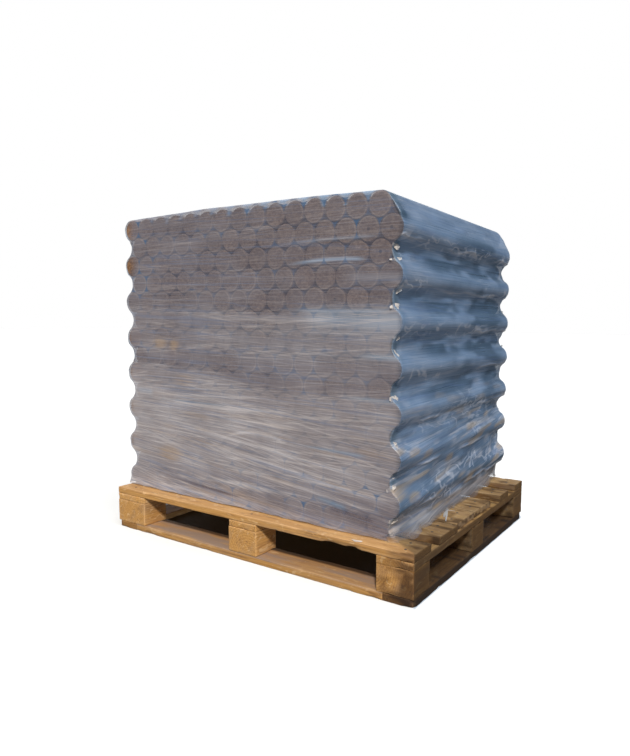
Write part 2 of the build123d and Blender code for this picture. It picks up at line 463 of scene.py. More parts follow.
def worn_timber(low, high, seed, chip_depth, cut_x=None, broken_x=None):
    """A rounded, chipped box. Each point p is set back to the rounded box, core + radius * unit(p - core),
    with core the nearest point of the box shrunk by the radius, and then pushed in by saw waves and chips."""
    edge = 0.005
    step = np.where(high - low > 0.3, 0.014, np.where(high - low > 0.05, 0.0105, 0.0055))
    points, quads = box_grid([edge_lines(low[k], high[k], step[k], edge) for k in range(3)])
    gaps = np.sort(np.minimum(points - low, high - points), axis=1)
    edge_gap = gaps[:, 1]
    x, y, z = points.T
    wander = lattice_noise(seed, x * 24, y * 24, z * 24)[:, None]
    radius = 0.0010 + 0.0022 * wander**2
    core = np.clip(points, low + radius, high - radius)
    away = points - core
    points = core + radius * away / np.maximum(np.linalg.norm(away, axis=1, keepdims=True), 1e-9)
    middle = np.clip(points, low + 0.0105, high - 0.0105)
    inward = middle - points
    inward = inward / np.maximum(np.linalg.norm(inward, axis=1, keepdims=True), 1e-9)
    saw = 0.0009 * lattice_noise(seed + 1, x * 30, y * 30, z * 30)
    bite = ramp(lattice_noise(seed + 2, x * 38, y * 38, z * 38), 0.66, 0.9)
    chips = chip_depth * bite * np.exp(-edge_gap / 0.005)
    if broken_x is not None:
        at_break = ramp(np.abs(x - broken_x), 0.075, 0.03) * (z < (low[2] + high[2]) / 2)
        splinters = 0.018 * lattice_noise(seed + 3, x * 60, y * 30, z * 30) * np.exp(-edge_gap / 0.008)
        chips = chips + at_break * splinters
    points = points + inward * (saw + chips)[:, None]
    if cut_x is not None:
        from_end = np.minimum(points[:, 1] - low[1], high[1] - points[:, 1])
        shift = np.maximum(bottom_cut - from_end - np.abs(points[:, 0] - cut_x), 0) / 2
        points[:, 1] += np.where(points[:, 1] < 0, shift, -shift)
        points[:, 0] += np.sign(-cut_x) * shift
    wear = np.exp(-edge_gap / 0.006) * 0.55 + ramp(chips, 0.0004, 0.002) * 0.45
    return points, quads, wear


def add_timber(node, seed, along, chip_depth=0.0022, tone=1.0, dust=0.0, painted_shade_y=no_painted_shade, **cuts):
    """One worn timber that stands for a CAD node, with grain along the given axis. The right end of the
    pallet is darkened by painted shade and has stains, dust lies on what faces up, and painted shade darkens
    what lies behind a depth."""
    low, high = (np.array(corner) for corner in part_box(node))
    points, quads, wear = worn_timber(low, high, seed, chip_depth, **cuts)
    rng = np.random.default_rng(seed)
    others = [axis for axis in range(3) if axis != along]
    grain = points[:, [along, *others]] - (low + high)[[along, *others]] / 2
    grain = grain + np.array([rng.uniform(-5, 5), *rng.uniform(-0.09, 0.09, 2)])
    x, y, z = points.T
    # Painted shade: the right end, which lies in shade, is toned darker over its last few centimetres
    # (corner) and most on its end faces (end_face); stains darken it there too.
    corner = ramp(x + 0.09 * lattice_noise(seed + 4, x * 30, y * 20, z * 60), 0.545, 0.62)
    end_face = ramp(x, 0.5965, 0.5990)
    stains = ramp(lattice_noise(seed + 5, x * 24, y * 62, z * 110), 0.54, 0.68) * ramp(x, 0.42, 0.54)
    shade = np.maximum(0.30 * corner + 0.45 * stains, 0.73 * end_face)
    values = {"grain": grain, "wear": wear, "tone": tone * rng.uniform(0.92, 1.08) * (1 - shade)}
    # Painted shade: all that lies behind the given depth is made much darker
    values["tone"] = values["tone"] * (1 - 0.85 * ramp(y, painted_shade_y, painted_shade_y + 0.005))
    facing_up = ramp(z, high[2] - 0.004, high[2] - 0.0015)
    values["dust"] = np.maximum(dust * facing_up, 0.5 * corner * (1 - facing_up)) * (1 - end_face)
    piece = add_piece("timber_" + node, points, [quads], wood_finish, values, sharp=50)
    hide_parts(node)
    return len(quads)


# %% Pallet timbers
along_x, along_y = 0, 1
timber_quads = 0
for index in range(6):
    broken_x = 0.37 if index == 0 else None
    tone = 1.0 if index < 2 else 1.14
    node = f"deck_board_{index + 1}"
    timber_quads += add_timber(node, 200 + index, along_x, 0.003, tone, dust=0.25, broken_x=broken_x)
for index, side in enumerate(("left", "middle", "right")):
    timber_quads += add_timber(f"stringer_board_{side}", 220 + index, along_y)
for index, (side, corner) in enumerate((("left", 0), ("right", 1))):
    node = f"bottom_board_{side}"
    # Painted shade: the right bottom board, in shade, is toned much darker; the left one is toned darker too
    tone = (0.55, 0.25)[index]
    timber_quads += add_timber(node, 236 + index, along_y, tone=tone, cut_x=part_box(node)[corner][0])
for index, line in enumerate(("front", "middle", "back")):
    node = f"bottom_board_{line}"
    # Painted shade under the load: the back of the front bottom board and all of the middle one
    painted_shade_y = no_painted_shade if line == "back" else -0.377
    timber_quads += add_timber(node, 230 + index, along_x, tone=0.78, dust=1.0, painted_shade_y=painted_shade_y)
    for number, side in enumerate(("left", "middle", "right")):
        # Painted shade: blocks behind the front line and left of the right end are toned darker
        tone = 1.0 if line == "front" or side == "right" else 0.5
        timber_quads += add_timber(f"block_{line}_{side}", 240 + 3 * index + number, along_y, tone=tone)
print("timber quads:", timber_quads)

# %% [markdown]
# Nails hold the deck boards to the boards under them. A nail head is a low eight-sided cap. All heads are
# one mesh, made by adding one cap's points to every nail's place.

# %% Nail heads
def add_nails(places):
    """Caps at the given places on top of the deck: a ring at the wood, a smaller ring above it, a centre."""
    count = 8
    around = np.arange(count)
    after = (around + 1) % count
    turn = 2 * np.pi * around / count
    ring = np.column_stack([np.cos(turn), np.sin(turn), 0 * turn])
    cap = np.vstack([0.0042 * ring, 0.0034 * ring + (0, 0, 0.0006), [(0, 0, 0.0007)]])
    sides = np.column_stack([around, after, count + after, count + around])
    top = np.column_stack([count + around, count + after, np.full(count, 2 * count)])
    points = (places[:, None] + cap[None]).reshape(-1, 3)
    start = len(cap) * np.arange(len(places))[:, None, None]
    sets = [(faces[None] + start).reshape(-1, faces.shape[1]) for faces in (sides, top)]
    finish = Finish("nail_steel", Base_Color=colour(0.10, 0.085, 0.075), Roughness=0.6, Metallic=0.7)
    add_piece("nail_heads", points, sets, finish.material, sharp=40)
    return len(places)


nail_columns, nail_sunk = (-0.545, 0.01, 0.553), 0.0004
nail_places = []
for number in range(1, 7):
    low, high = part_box(f"deck_board_{number}")
    for share, shift in ((0.27, 0.006), (0.74, -0.004)):
        nail_y = low[1] + share * (high[1] - low[1])
        nail_places += [(nail_x + shift, nail_y, deck_top - nail_sunk) for nail_x in nail_columns]
print("nails:", add_nails(np.array(nail_places)))

# %% [markdown]
# Stretch film is thin clear plastic, and what the eye sees of it is its layers: one layer is almost clear,
# several turn milky, and where it spans a hollow it mirrors the sky and looks blue. Here that blue is
# painted:
# a painted sky reflection on the sides and the top edge, and painted shade and reflection in the hollows. So
# the mesh carries how well the film covers and how milky it is, and fine streaks along the winding change
# both. On the front the hollows are the gaps between the round log ends, which the finish finds from the
# stack's own pattern. The rim of a log end presses into the film, so it shows as a faint pale ring.

# %% Patterns in the film
def from_log_axis(finish):
    """Distance from the nearest log axis, seen from the front: the log axes are two lattices of one pitch by
    two row rises, and the second lattice is moved by half a pitch and one rise."""
    half_cell = np.array([log_pitch / 2, 0, row_rise])
    distances = []
    for row in (0, 1):
        moved = finish.scaled(finish.place(), (1, 0, 1), (-first_axis(row), 0, -row_axis(row)))
        cell = finish.add("ShaderNodeVectorMath", {0: moved, 1: half_cell, 2: -half_cell}, operation="WRAP")
        distances.append(finish.add("ShaderNodeVectorMath", {0: cell}, "Value", operation="LENGTH"))
    return finish.maths("MINIMUM", *distances)


def threads(finish, run, turn, shift):
    """Thin lines along the winding, turned by a few degrees: the places where a drawn-out noise crosses its
    middle value. The turn has a mapping of its own, because one mapping would stretch before it turns."""
    turned = finish.add("ShaderNodeMapping", {"Vector": run, "Rotation": (0, 0, radians(turn))})
    drawn = finish.noise(finish.scaled(turned, (1.1, 58, 1), (shift, shift, 0)), detail=1)
    return finish.remap(finish.maths("ABSOLUTE", finish.maths("SUBTRACT", drawn, 0.5)), 0.026, 0.006)


def veins(finish, run):
    """A net of thin curls, as film shows where it is bunched: the middle value of an even noise."""
    even = finish.noise(finish.scaled(run, (9, 17, 1)), detail=2.5, distortion=0.8)
    line = finish.remap(finish.maths("ABSOLUTE", finish.maths("SUBTRACT", even, 0.5)), 0.05, 0.008)
    return finish.maths("MULTIPLY", line, finish.attribute("veins"))


print("patterns:", [pattern.__name__ for pattern in (from_log_axis, threads, veins)])

# %% Stretch film finish
def film_finish():
    """Cover gives the alpha. The second value gives the milkiness, together with painted light on the right
    side and a painted glint. Colours then follow in layers: the film with the painted blue of the sky on its
    sides, milkiness, painted shade on the right side, tan patches, blue threads, and last the painted shade
    and sky reflection in the gaps between the log ends."""
    finish = Finish("stretch_film", IOR=1.46)
    run = finish.add("ShaderNodeUVMap", {}, uv_map="winding")
    cover, haze, front, gaps = (finish.attribute(name) for name in ("cover", "haze", "front", "gaps"))
    deep, tan = finish.attribute("deep"), finish.attribute("tan")
    fine = finish.noise(finish.scaled(run, (2.6, 240, 1)), detail=3, roughness=0.6)
    broad = finish.noise(finish.scaled(run, (1.6, 46, 1)), detail=2)
    cloud = finish.noise(finish.scaled(run, (7, 9, 1)), detail=3)
    glints = finish.remap(fine, 0.60, 0.74)
    thread_turns = ((-5, 0.0), (2, 7.7), (6, 3.4))
    thread_sets = [threads(finish, run, turn, shift) for turn, shift in thread_turns]
    white_threads, blue_threads, crossing = thread_sets
    net = veins(finish, run)
    from_axis = from_log_axis(finish)
    fine_streak = finish.remap(fine, 0.3, 0.7, -0.06, 0.055)
    streak = finish.maths("ADD", finish.remap(broad, 0.3, 0.7, -0.015, 0.02), fine_streak)
    patchy = finish.remap(cloud, 0.3, 0.7, -0.06, 0.06)
    thick = finish.maths("ADD", finish.maths("ADD", cover, streak), patchy)
    netted = finish.maths("MULTIPLY_ADD", net, 0.25, thick)
    alpha = finish.maths("MULTIPLY_ADD", glints, 0.10, netted, clamp=True)
    # The milkiness from the mesh also carries painted light on the right side and a painted glint
    milk_and_light = finish.maths("ADD", finish.maths("MULTIPLY_ADD", streak, 0.9, haze), patchy)
    both_threads = finish.maths("MULTIPLY_ADD", crossing, 0.7, white_threads)
    thread_share = finish.maths("MULTIPLY", both_threads, finish.remap(haze, 0.05, 0.5, 0.12, 0.34))
    from_rim = finish.maths("ABSOLUTE", finish.maths("SUBTRACT", from_axis, log_radius - 0.004))
    rim_line = finish.maths("MULTIPLY", finish.remap(from_rim, 0.0035, 0.001), finish.remap(cloud, 0.4, 0.6))
    rim_share = finish.maths("MULTIPLY", front, finish.remap(haze, 0.12, 0.3, 0.14, 0.05))
    rimmed = finish.maths("MULTIPLY_ADD", rim_line, rim_share, finish.maths("ADD", milk_and_light, thread_share))
    netted_milk_and_light = finish.maths("MULTIPLY_ADD", net, 0.6, rimmed)
    milky_and_lit = finish.maths("MULTIPLY_ADD", glints, 0.16, netted_milk_and_light, clamp=True)
    past_log = finish.remap(from_axis, log_radius - 0.0011, log_radius + 0.0018)
    between = finish.maths("MULTIPLY", past_log, gaps)
    shown = finish.maths("MULTIPLY", between, finish.remap(cloud, 0.40, 0.60, 0.1, 1.0))
    hollow = finish.maths("MULTIPLY", shown, finish.remap(milky_and_lit, 0.1, 0.75, 1.0, 0.5))
    # Painted reflection: where front is low, on the sides, the top edge and some marks, the film takes the
    # blue of a mirrored sky
    film_and_sky_tint = finish.blend(front, colour(0.22, 0.31, 0.44), colour(0.155, 0.147, 0.190))
    hazed = finish.blend(milky_and_lit, film_and_sky_tint, colour(0.60, 0.565, 0.58))
    # Painted shade: the dark blue of the shaded parts of the right side, less where the film is milky
    deep_share = finish.maths("MULTIPLY", deep, finish.remap(milky_and_lit, 0.15, 0.6, 1.0, 0.15))
    deepened = finish.blend(deep_share, hazed, colour(0.084, 0.133, 0.190))
    tanned = finish.blend(tan, deepened, colour(0.54, 0.39, 0.26))
    tint = finish.blend(finish.maths("MULTIPLY", blue_threads, 0.35), tanned, colour(0.16, 0.235, 0.40))
    # Painted shade and reflection: the gaps between the log ends are dark blue and more covering
    tinted = finish.blend(hollow, tint, colour(0.068, 0.125, 0.225))
    covered = finish.maths("MULTIPLY_ADD", hollow, 0.4, alpha, clamp=True)
    finish.wire(Base_Color=tinted, Alpha=covered, Roughness=finish.remap(fine, 0.3, 0.7, 0.26, 0.44))
    finish.wire(Normal=finish.bump(finish.maths("MULTIPLY_ADD", broad, 0.4, fine), 0.28, 0.0011))
    return finish.material


wrap_finish = film_finish()
print("finish:", wrap_finish.name)

# %% [markdown]
# The wrap could be a cloth simulation pulled tight over the logs, but a stretched film has a shape that a
# formula gives: it is tangent to each log that stands out and curves in towards the row that lies further
# in. The surface is a rounded rectangle carried up the stack. Its two parameters are the way round and the
# way up, and its four sides move in and out with height. Below, it flares onto the deck; above, it folds
# over the top row and ends in a lip. Wrinkles are pushed outward, along the winding.

# %% Film outline
film_gap = 0.0011
bulge = log_radius + film_gap
corner_radius = 0.003
fold_radius = 0.008
lip_width = 0.13
top_row = rows_high - 1
crown = row_axis(top_row) + bulge
last_left_axis = first_axis(0) + (logs_per_row - 1) * log_pitch
last_right_axis = last_left_axis + row_stagger
shoulder = atan2(row_stagger, row_rise)


def valley_reach(height, out_row, share):
    """How far the wrap stands out past the outer log axes: an arc over each outer log, sqrt(b2 - w2) with w
    the height from its axis, joined to a hollow arc that dips by a share of the stagger between logs."""
    away = np.abs((height - row_axis(out_row) + row_rise) % (2 * row_rise) - row_rise)
    depth = share * row_stagger
    reach = (row_rise**2 + depth**2) / (2 * depth)
    join = bulge * np.sin(np.arctan2(row_rise, reach - depth))
    on_log = np.sqrt(np.maximum(bulge**2 - away**2, 0))
    in_hollow = reach - depth - np.sqrt((reach - bulge) ** 2 - (row_rise - away) ** 2)
    return np.where(away < join, on_log, in_hollow)


def crown_reach(height):
    """How far the arc over a top log's axis reaches sideways."""
    return np.sqrt(np.maximum(bulge**2 - (height - row_axis(top_row)) ** 2, 0))


def left_side(height, share):
    """Place of the left side along X: outer logs are those of every other row, from the lowest one up."""
    low = np.maximum(height, row_axis(0))
    reach = np.where(height > row_axis(top_row), crown_reach(height), valley_reach(low, 0, share))
    return first_axis(0) - reach


def right_side(height, share):
    """Place of the right side along X: the top row lies further in, so a straight slope leads up to it."""
    low = np.maximum(height, row_axis(0))
    slope_start = row_axis(top_row - 1) + bulge * np.sin(shoulder)
    slope_end = row_axis(top_row) + bulge * np.sin(shoulder)
    on_slope = (height - slope_start) / (slope_end - slope_start)
    slope = last_right_axis + bulge * np.cos(shoulder) - row_stagger * on_slope
    outer = last_right_axis + valley_reach(low, 1, share)
    inner = last_left_axis + crown_reach(height)
    return np.where(height < slope_start, outer, np.where(height < slope_end, slope, inner))


print("film crown at", round(crown, 4), "m")

# %% [markdown]
# The grid has one column per step round the stack and one row per level. Columns lie closer together near
# the corners, where the film bends most, and rows lie closer together at the hem and over the top log.

# %% Film grid
side_counts, corner_count = (92, 72, 92, 72), 5


def side_columns(count):
    """Shares along one side, closer together near both corners."""
    even = (np.arange(count) + 0.5) / count
    return 0.45 * even + 0.55 * (0.5 - 0.5 * np.cos(np.pi * even))


def ring_columns():
    """For each column round the stack: its shares of the width and depth, and its outward direction."""
    corner = np.radians(np.linspace(0, 90, corner_count))
    blocks = []
    for side, count in enumerate(side_counts):
        across = side_columns(count)
        zero, one = 0 * across, 1 + 0 * across
        along_side = [(across, zero), (one, across), (1 - across, one), (zero, 1 - across)][side]
        at_corner = [(1, 0), (1, 1), (0, 1), (0, 0)][side]
        facing = np.radians(90 * side - 90)
        turned = facing + corner
        blocks.append(np.stack([*along_side, np.full(count, np.cos(facing)), np.full(count, np.sin(facing))]))
        corner_shares = [np.full(corner_count, share) for share in at_corner]
        blocks.append(np.stack([*corner_shares, np.cos(turned), np.sin(turned)]))
    return np.hstack(blocks)


width_share, depth_share, face_x, face_y = ring_columns()
skirt_height = 0.034
skirt_levels = deck_top + 0.0012 + skirt_height * np.linspace(0, 1, 13)[:-1]
side_levels = np.linspace(deck_top + 0.0012 + skirt_height, row_axis(top_row), 226)
arc_levels = row_axis(top_row) + bulge * np.sin(np.radians(np.linspace(0, 90, 15)[1:]))
levels = np.concatenate([skirt_levels, side_levels, arc_levels])
lip_steps = np.linspace(0, 1, 15)[1:]
height = np.concatenate([levels, np.full(len(lip_steps), crown)])[:, None]
lip_share = np.concatenate([np.zeros(len(levels)), lip_steps])[:, None]
is_front, is_back = np.clip(-face_y, 0, 1) ** 2, np.clip(face_y, 0, 1) ** 2
is_right, is_left = np.clip(face_x, 0, 1) ** 2, np.clip(-face_x, 0, 1) ** 2
print("film grid:", height.size, "levels,", width_share.size, "columns")

# %% Film sides
middle_of_side = np.where(is_right + is_left > 0.5, ramp(4 * depth_share * (1 - depth_share), 0, 0.8), 0)
low_part = ramp(height, 0.62, 0.35)
dip_share = 0.94 - (0.20 + 0.42 * low_part) * middle_of_side
lip = lip_share * lip_width * (0.85 + 0.3 * lattice_noise(300, width_share * 9 + 3, depth_share * 7))
fold = np.clip(height - (crown - fold_radius), 0, fold_radius)
fold_in = fold_radius - np.sqrt(np.maximum(fold_radius**2 - fold**2, 0))
left_x = left_side(height, dip_share) + lip + corner_radius
right_x = right_side(height, dip_share) - lip - corner_radius
front_y = stack_front - film_gap + fold_in + lip + corner_radius
back_y = stack_back + film_gap - fold_in - lip - corner_radius
flat_x = left_x + (right_x - left_x) * width_share
flat_y = front_y + (back_y - front_y) * depth_share

half_way_up = 120
turn_x, turn_y = flat_x[half_way_up], flat_y[half_way_up]
step_x, step_y = np.diff(turn_x, append=turn_x[:1]), np.diff(turn_y, append=turn_y[:1])
around = np.concatenate([[0.0], np.cumsum(np.hypot(step_x, step_y))])
run = np.broadcast_to(around[:-1], flat_x.shape)
climb = np.broadcast_to(height + lip_share * lip_width, flat_x.shape)
between_ends = ramp(height, deck_top + 0.02, deck_top + 0.06) * (1 - ramp(height, 1.05, 1.09))
up_side = np.broadcast_to(between_ends, flat_x.shape)
print("one turn of film:", round(around[-1], 3), "m")

# %% [markdown]
# Tight film is not smooth. It ripples along the winding, creases where the extra turns slant down to the
# pallet, and sags into swags in the hollows of the right side, where its edge bunches under each log. These
# are heights above the smooth surface, each a noise drawn out along the winding.

# %% Film relief
ripples = (0.0016 - 0.0009 * is_front) * lattice_noise(310, run * 2.6, climb * 62) ** 2
corner_columns = np.cumsum(side_counts)[:3] + corner_count * np.arange(3)
corner_runs = [0.0, *around[corner_columns], around[-1]]
slanted = ramp(height, 0.54, 0.34)
slope = np.interp(run, corner_runs, [-0.11, 0.0, -0.10, 0.05, 0.0]) * (0.06 + 0.94 * slanted)
winding_climb = climb + slope
crease_size = 0.0003 + 0.0017 * is_right
creases = crease_size * ramp(lattice_noise(311, run * 2.6, winding_climb * 70), 0.55, 0.9)
valley_place = valley_reach(np.maximum(height, row_axis(0)), 1, 0.9)
in_valley = np.clip((bulge - np.maximum(valley_place, 0)) / row_stagger, 0, 1)
at_ends = (is_right + is_left) * (1 - middle_of_side)
swags = 0.013 * (lattice_noise(312, run * 14, climb * 36) - 0.35) * in_valley * is_right
swags = swags + 0.006 * (lattice_noise(313, run * 40, climb * 60) - 0.4) * in_valley * at_ends
under_log = (height - row_axis(1) + row_rise) % (2 * row_rise) - row_rise + 0 * run
turn_count = 7.3 * np.floor((height - row_axis(0)) / (2 * row_rise)) + 0 * run
wander = 0.016 * lattice_noise(316, run * 13, turn_count) + 0.007 * lattice_noise(317, run * 45, turn_count)
bunched = np.exp(-(((under_log + 0.040 - wander) / 0.0036) ** 2)) * is_right * up_side
bunched = bunched * ramp(lattice_noise(318, run * 7, turn_count), 0.42, 0.68)
soft_relief = ripples + creases * (0.25 + 0.75 * low_part) + np.maximum(swags, -0.002)
relief = up_side * soft_relief + 0.004 * bunched
print("highest relief:", round(1000 * relief.max(), 1), "mm")

# %% [markdown]
# At the foot the film flares onto the deck in pleats, most at the right front corner, and drops between
# the boards. At the top of the front it isn't drawn tight: it stands up a little before it folds in.

# %% Hem, top edge and film surface
near_corner = ramp(depth_share, 0.36, 0.03)
flare_size = 0.006 * is_front + (0.004 + 0.034 * near_corner) * is_right + 0.0018 * (is_left + is_back)
skirt = ramp(height, deck_top + skirt_height, deck_top)
pleats = 0.35 + 0.8 * lattice_noise(314, run * 9, 0 * run) + 0.5 * lattice_noise(319, run * 42, 0 * run)
flare = flare_size * skirt**1.3 * pleats
outward = corner_radius + relief + flare
crown_phase = np.pi * (flat_x - first_axis(top_row)) / log_pitch
sag = 0.006 * np.sin(crown_phase) ** 2 * ramp(lip_share, 0.0, 0.5)
hem_wave = 0.004 * skirt * lattice_noise(315, run * 26, climb * 90)
board_edges = [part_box(f"deck_board_{number}") for number in range(1, 7)]
on_board = 0 * flat_y
for low, high in board_edges:
    on_board += ramp(flat_y, low[1] - 0.004, low[1] + 0.002) * ramp(flat_y, high[1] + 0.004, high[1] - 0.002)
drop = 0.012 * skirt**2 * (1 - np.clip(on_board, 0, 1)) * is_right
stands_up = ramp(height, crown - 0.02, crown) * ramp(lip_share, 0.7, 0.0) * is_front
lift = 0.0075 * stands_up * np.sin(np.pi * width_share) * (0.8 + 0.4 * lattice_noise(335, run * 8, 0 * run))
film_z = height + hem_wave - sag - drop + lift
film_points = np.stack([flat_x + outward * face_x, flat_y + outward * face_y, film_z], axis=-1)
print("film height", np.round([film_points[..., 2].min(), film_points[..., 2].max()], 4))

# %% [markdown]
# Cover and haze are painted by formula as well. The front is wound thinly above, so the log ends show, and
# the extra turns that tie the load to the pallet make the lowest third milky. The sides are seen at a
# slant through more film. A few places on the front have hardly any film, and there the logs look warm.

# %% Marks and spots on the front
# Each mark is a soft line: x from and to, z from and to, bow, half height, more cover, more haze,
# more of the painted sky blue
film_marks = [
    # Painted highlight: this first mark is a light blue glint along a fold
    (0.116, 0.424, 0.906, 0.913, 0.008, 0.0045, 0.45, 0.16, 1.0),
    (-0.30, 0.33, 0.752, 0.747, 0.0, 0.006, 0.12, 0.25, 0.0),
    (0.14, 0.58, 0.757, 0.745, 0.0, 0.026, 0.16, 0.05, 0.9),
    (0.10, 0.50, 0.777, 0.772, 0.0, 0.004, 0.10, 0.10, 0.7),
    (-0.575, -0.46, 0.498, 0.492, 0.0, 0.010, 0.15, -0.15, 0.8),
    (-0.42, -0.21, 0.508, 0.508, 0.0, 0.006, -0.05, -0.35, 0.2),
    (0.22, 0.36, 0.232, 0.212, 0.0, 0.008, 0.05, -0.25, 0.9),
    (-0.448, 0.447, 0.400, 0.308, 0.0, 0.0040, 0.12, 0.42, 0.0),
    (-0.236, 0.494, 0.347, 0.245, 0.0, 0.0040, 0.12, 0.38, 0.0),
    (-0.169, 0.146, 0.348, 0.373, 0.034, 0.0038, 0.12, 0.48, 0.0),
    (-0.522, 0.159, 0.458, 0.469, 0.0, 0.0060, 0.08, 0.26, 0.0),
    (-0.168, 0.200, 0.429, 0.427, 0.0, 0.0042, 0.08, 0.26, 0.0),
    (0.146, 0.429, 0.378, 0.370, 0.0, 0.0042, 0.05, -0.28, 1.0),
    (-0.389, -0.045, 0.200, 0.177, 0.0, 0.0040, -0.12, -0.60, 0.0),
    (-0.290, 0.186, 0.211, 0.220, 0.006, 0.0042, 0.08, 0.32, 0.3),
    (0.265, 0.449, 0.206, 0.191, 0.0, 0.0040, -0.12, -0.50, 0.0),
    (-0.090, 0.494, 0.275, 0.215, 0.0, 0.0040, 0.12, 0.36, 0.0),
    (-0.45, -0.10, 0.472, 0.470, 0.0, 0.0036, 0.02, -0.30, 0.9),
    (-0.33, 0.10, 0.372, 0.318, 0.0, 0.0036, 0.02, -0.26, 0.2),
    (0.30, 0.58, 0.870, 0.858, 0.0, 0.013, 0.12, 0.12, 0.2),
    (0.36, 0.60, 0.652, 0.645, 0.0, 0.007, 0.12, 0.02, 0.9),
    (0.30, 0.60, 0.533, 0.527, 0.0, 0.006, 0.10, 0.0, 0.9),
    (0.10, 0.46, 0.968, 0.972, 0.004, 0.004, 0.16, 0.14, 0.5),
]
# Each tan spot: x, z, half width, half height and strength
tan_spots = [(-0.425, 0.665, 0.034, 0.018, 0.55), (-0.355, 0.661, 0.022, 0.018, 0.65)]
tan_spots += [(-0.31, 0.543, 0.045, 0.018, 0.35), (-0.38, 0.284, 0.055, 0.028, 0.45)]
print("film marks:", len(film_marks), "tan spots:", len(tan_spots))

# %% Turns of film round the stack
film_x = film_points[..., 0]
wavy = 0.03 * lattice_noise(320, run * 5, 0 * run)
milk_edge = 0.546 - 0.066 * film_x + wavy
milk_top = ramp(height, milk_edge + 0.01, milk_edge - 0.03)
milk_band = 0.6 * milk_top + 0.4 * ramp(height, milk_edge - 0.02, milk_edge - 0.12)
first_turn = ramp(height, 0.79 + wavy, 0.74 + wavy) * ramp(height, 0.6, 0.66)
face = is_front + is_back
leftward = ramp(film_x, 0.3, -0.5)
second_turn = ramp(height, 0.72 + wavy, 0.66 + wavy)
plain_rows = ramp(height, 0.925 + wavy, 0.885 + wavy)
cover = (0.50 + 0.10 * leftward + (0.03 * plain_rows + 0.05 * second_turn) * (1 - leftward)) * is_front
cover = cover + 0.86 * is_right + 0.76 * is_left + 0.46 * is_back + 0 * height
thin_foot = ramp(height, 0.30, 0.20)
cover = cover + (0.10 * milk_band + 0.04 * first_turn) * face - (0.58 + 0.10 * near_corner) * skirt * is_right
corner_line = 4 * is_front * is_right
cover = cover - 0.3 * corner_line
foot_haze = 0.44 - (0.17 + 0.10 * (1 - leftward)) * thin_foot - 0.12 * ramp(film_x, 0.0, 0.5) * low_part
haze = (0.07 + 0.08 * leftward + foot_haze * milk_band + (0.22 - 0.10 * leftward) * first_turn) * face
front_hem = ramp(height, deck_top + 0.058, deck_top + 0.035) * ramp(film_x, 0.25, -0.15) * is_front
right_hem = ramp(height, deck_top + 0.085, deck_top + 0.02) * is_right
haze = haze + 0.35 * is_right * skirt + 0.05 * front_hem + 0.14 * right_hem
thin_turn = second_turn * (1 - milk_band) * (1 - first_turn) * (1 - leftward) * is_front
haze, cover = haze + 0.12 * thin_turn, cover + 0.05 * thin_turn
smears = ramp(lattice_noise(321, run * 9, winding_climb * 95), 0.58, 0.85)
smears = smears + 0.7 * ramp(lattice_noise(323, run * 16, winding_climb * 44), 0.66, 0.82)
haze = haze + (0.05 + (0.05 + 0.40 * smears) * low_part) * (is_right + is_left) + 0.55 * bunched
print("mean haze of the front:", round((haze * is_front).sum() / (is_front.sum() * len(haze)), 3))

# %% Top edge, bare spots and marks
# Painted reflection: along the top edge the film is made more covering and takes the painted sky blue
top_gap = np.abs((film_x - first_axis(top_row) + row_stagger) % log_pitch - row_stagger)
above_logs = ramp(height - row_axis(top_row) - np.sqrt(np.maximum(log_radius**2 - top_gap**2, 0)), 0.0, 0.004)
top_edge = above_logs * ramp(height, crown - 0.04, crown - 0.03) * face
cover = np.maximum(cover, 0.92 * top_edge)
haze = haze * (1 - 0.8 * top_edge * (1 - leftward))
for spot_x, spot_z, half_width, half_height, strength in bare_spots:
    spot = ((film_x - spot_x) / half_width) ** 2 + ((height - spot_z) / half_height) ** 2
    cover = cover - strength * np.exp(-spot) * is_front
front = face * (1 - 0.2 * first_turn * (1 - leftward)) - 0.95 * top_edge * (1 - 0.8 * leftward)
for x_from, x_to, z_from, z_to, bow, half, more_cover, more_haze, blue in film_marks:
    share = (film_x - x_from) / (x_to - x_from)
    line = z_from + (z_to - z_from) * share + 4 * bow * share * (1 - share)
    mark = np.exp(-(((height - line) / half) ** 2)) * ramp(share, 0, 0.4) * ramp(share, 1, 0.85) * is_front
    cover, haze, front = cover + more_cover * mark, haze + more_haze * mark, front - blue * mark
print("cover from", round(cover.min(), 2), "to", round(cover.max(), 2))

# %% [markdown]
# Between three round ends lies a small three-sided gap, and the film across it is painted dark blue, as
# painted shade and sky reflection. How strongly it shows is one more value on the mesh. Tan patches are
# places where the warm colour of a log comes through.

# %% Gaps between the log ends, and tan patches
# How strongly the painted shade and sky reflection of the gaps shows
gaps = face * (1 - 0.6 * leftward) * (0.45 + 0.55 * ramp(lattice_noise(322, run * 8, climb * 26), 0.3, 0.6))
gaps = gaps * (1 - 0.35 * plain_rows - 0.15 * second_turn)
far_left = ramp(film_x, -0.42, -0.48) * ramp(height, 0.58, 0.64) * is_front
gaps = gaps + 0.65 * far_left * ramp(lattice_noise(334, run * 11, climb * 9), 0.35, 0.55)
gaps = gaps * (1 + 1.2 * ramp(height, 0.36, 0.28))
tan = 0.62 * ramp(lattice_noise(328, run * 12, winding_climb * 46), 0.60, 0.8) * low_part * is_right
tan = tan + 0.2 * ramp(lattice_noise(329, run * 6, winding_climb * 70), 0.68, 0.85) * low_part * is_front
tan = tan + 0.32 * right_hem
for spot_x, spot_z, half_width, half_height, strength in tan_spots:
    spot = ((film_x - spot_x) / half_width) ** 2 + ((height - spot_z) / half_height) ** 2
    tan = tan + strength * np.exp(-(spot**2)) * is_front
print("strongest tan:", round(tan.max(), 2))

# %% [markdown]
# The right side is in shade and seen at a slant. Its light and shade are painted: ragged dark patches of
# painted shade where the film spans a hollow, on the upward slopes, at the near corner and low down, a paler
# band of painted reflection under each log, and lighter film on the top slope and near the corner. Thin white
# curls show where the film is bunched.

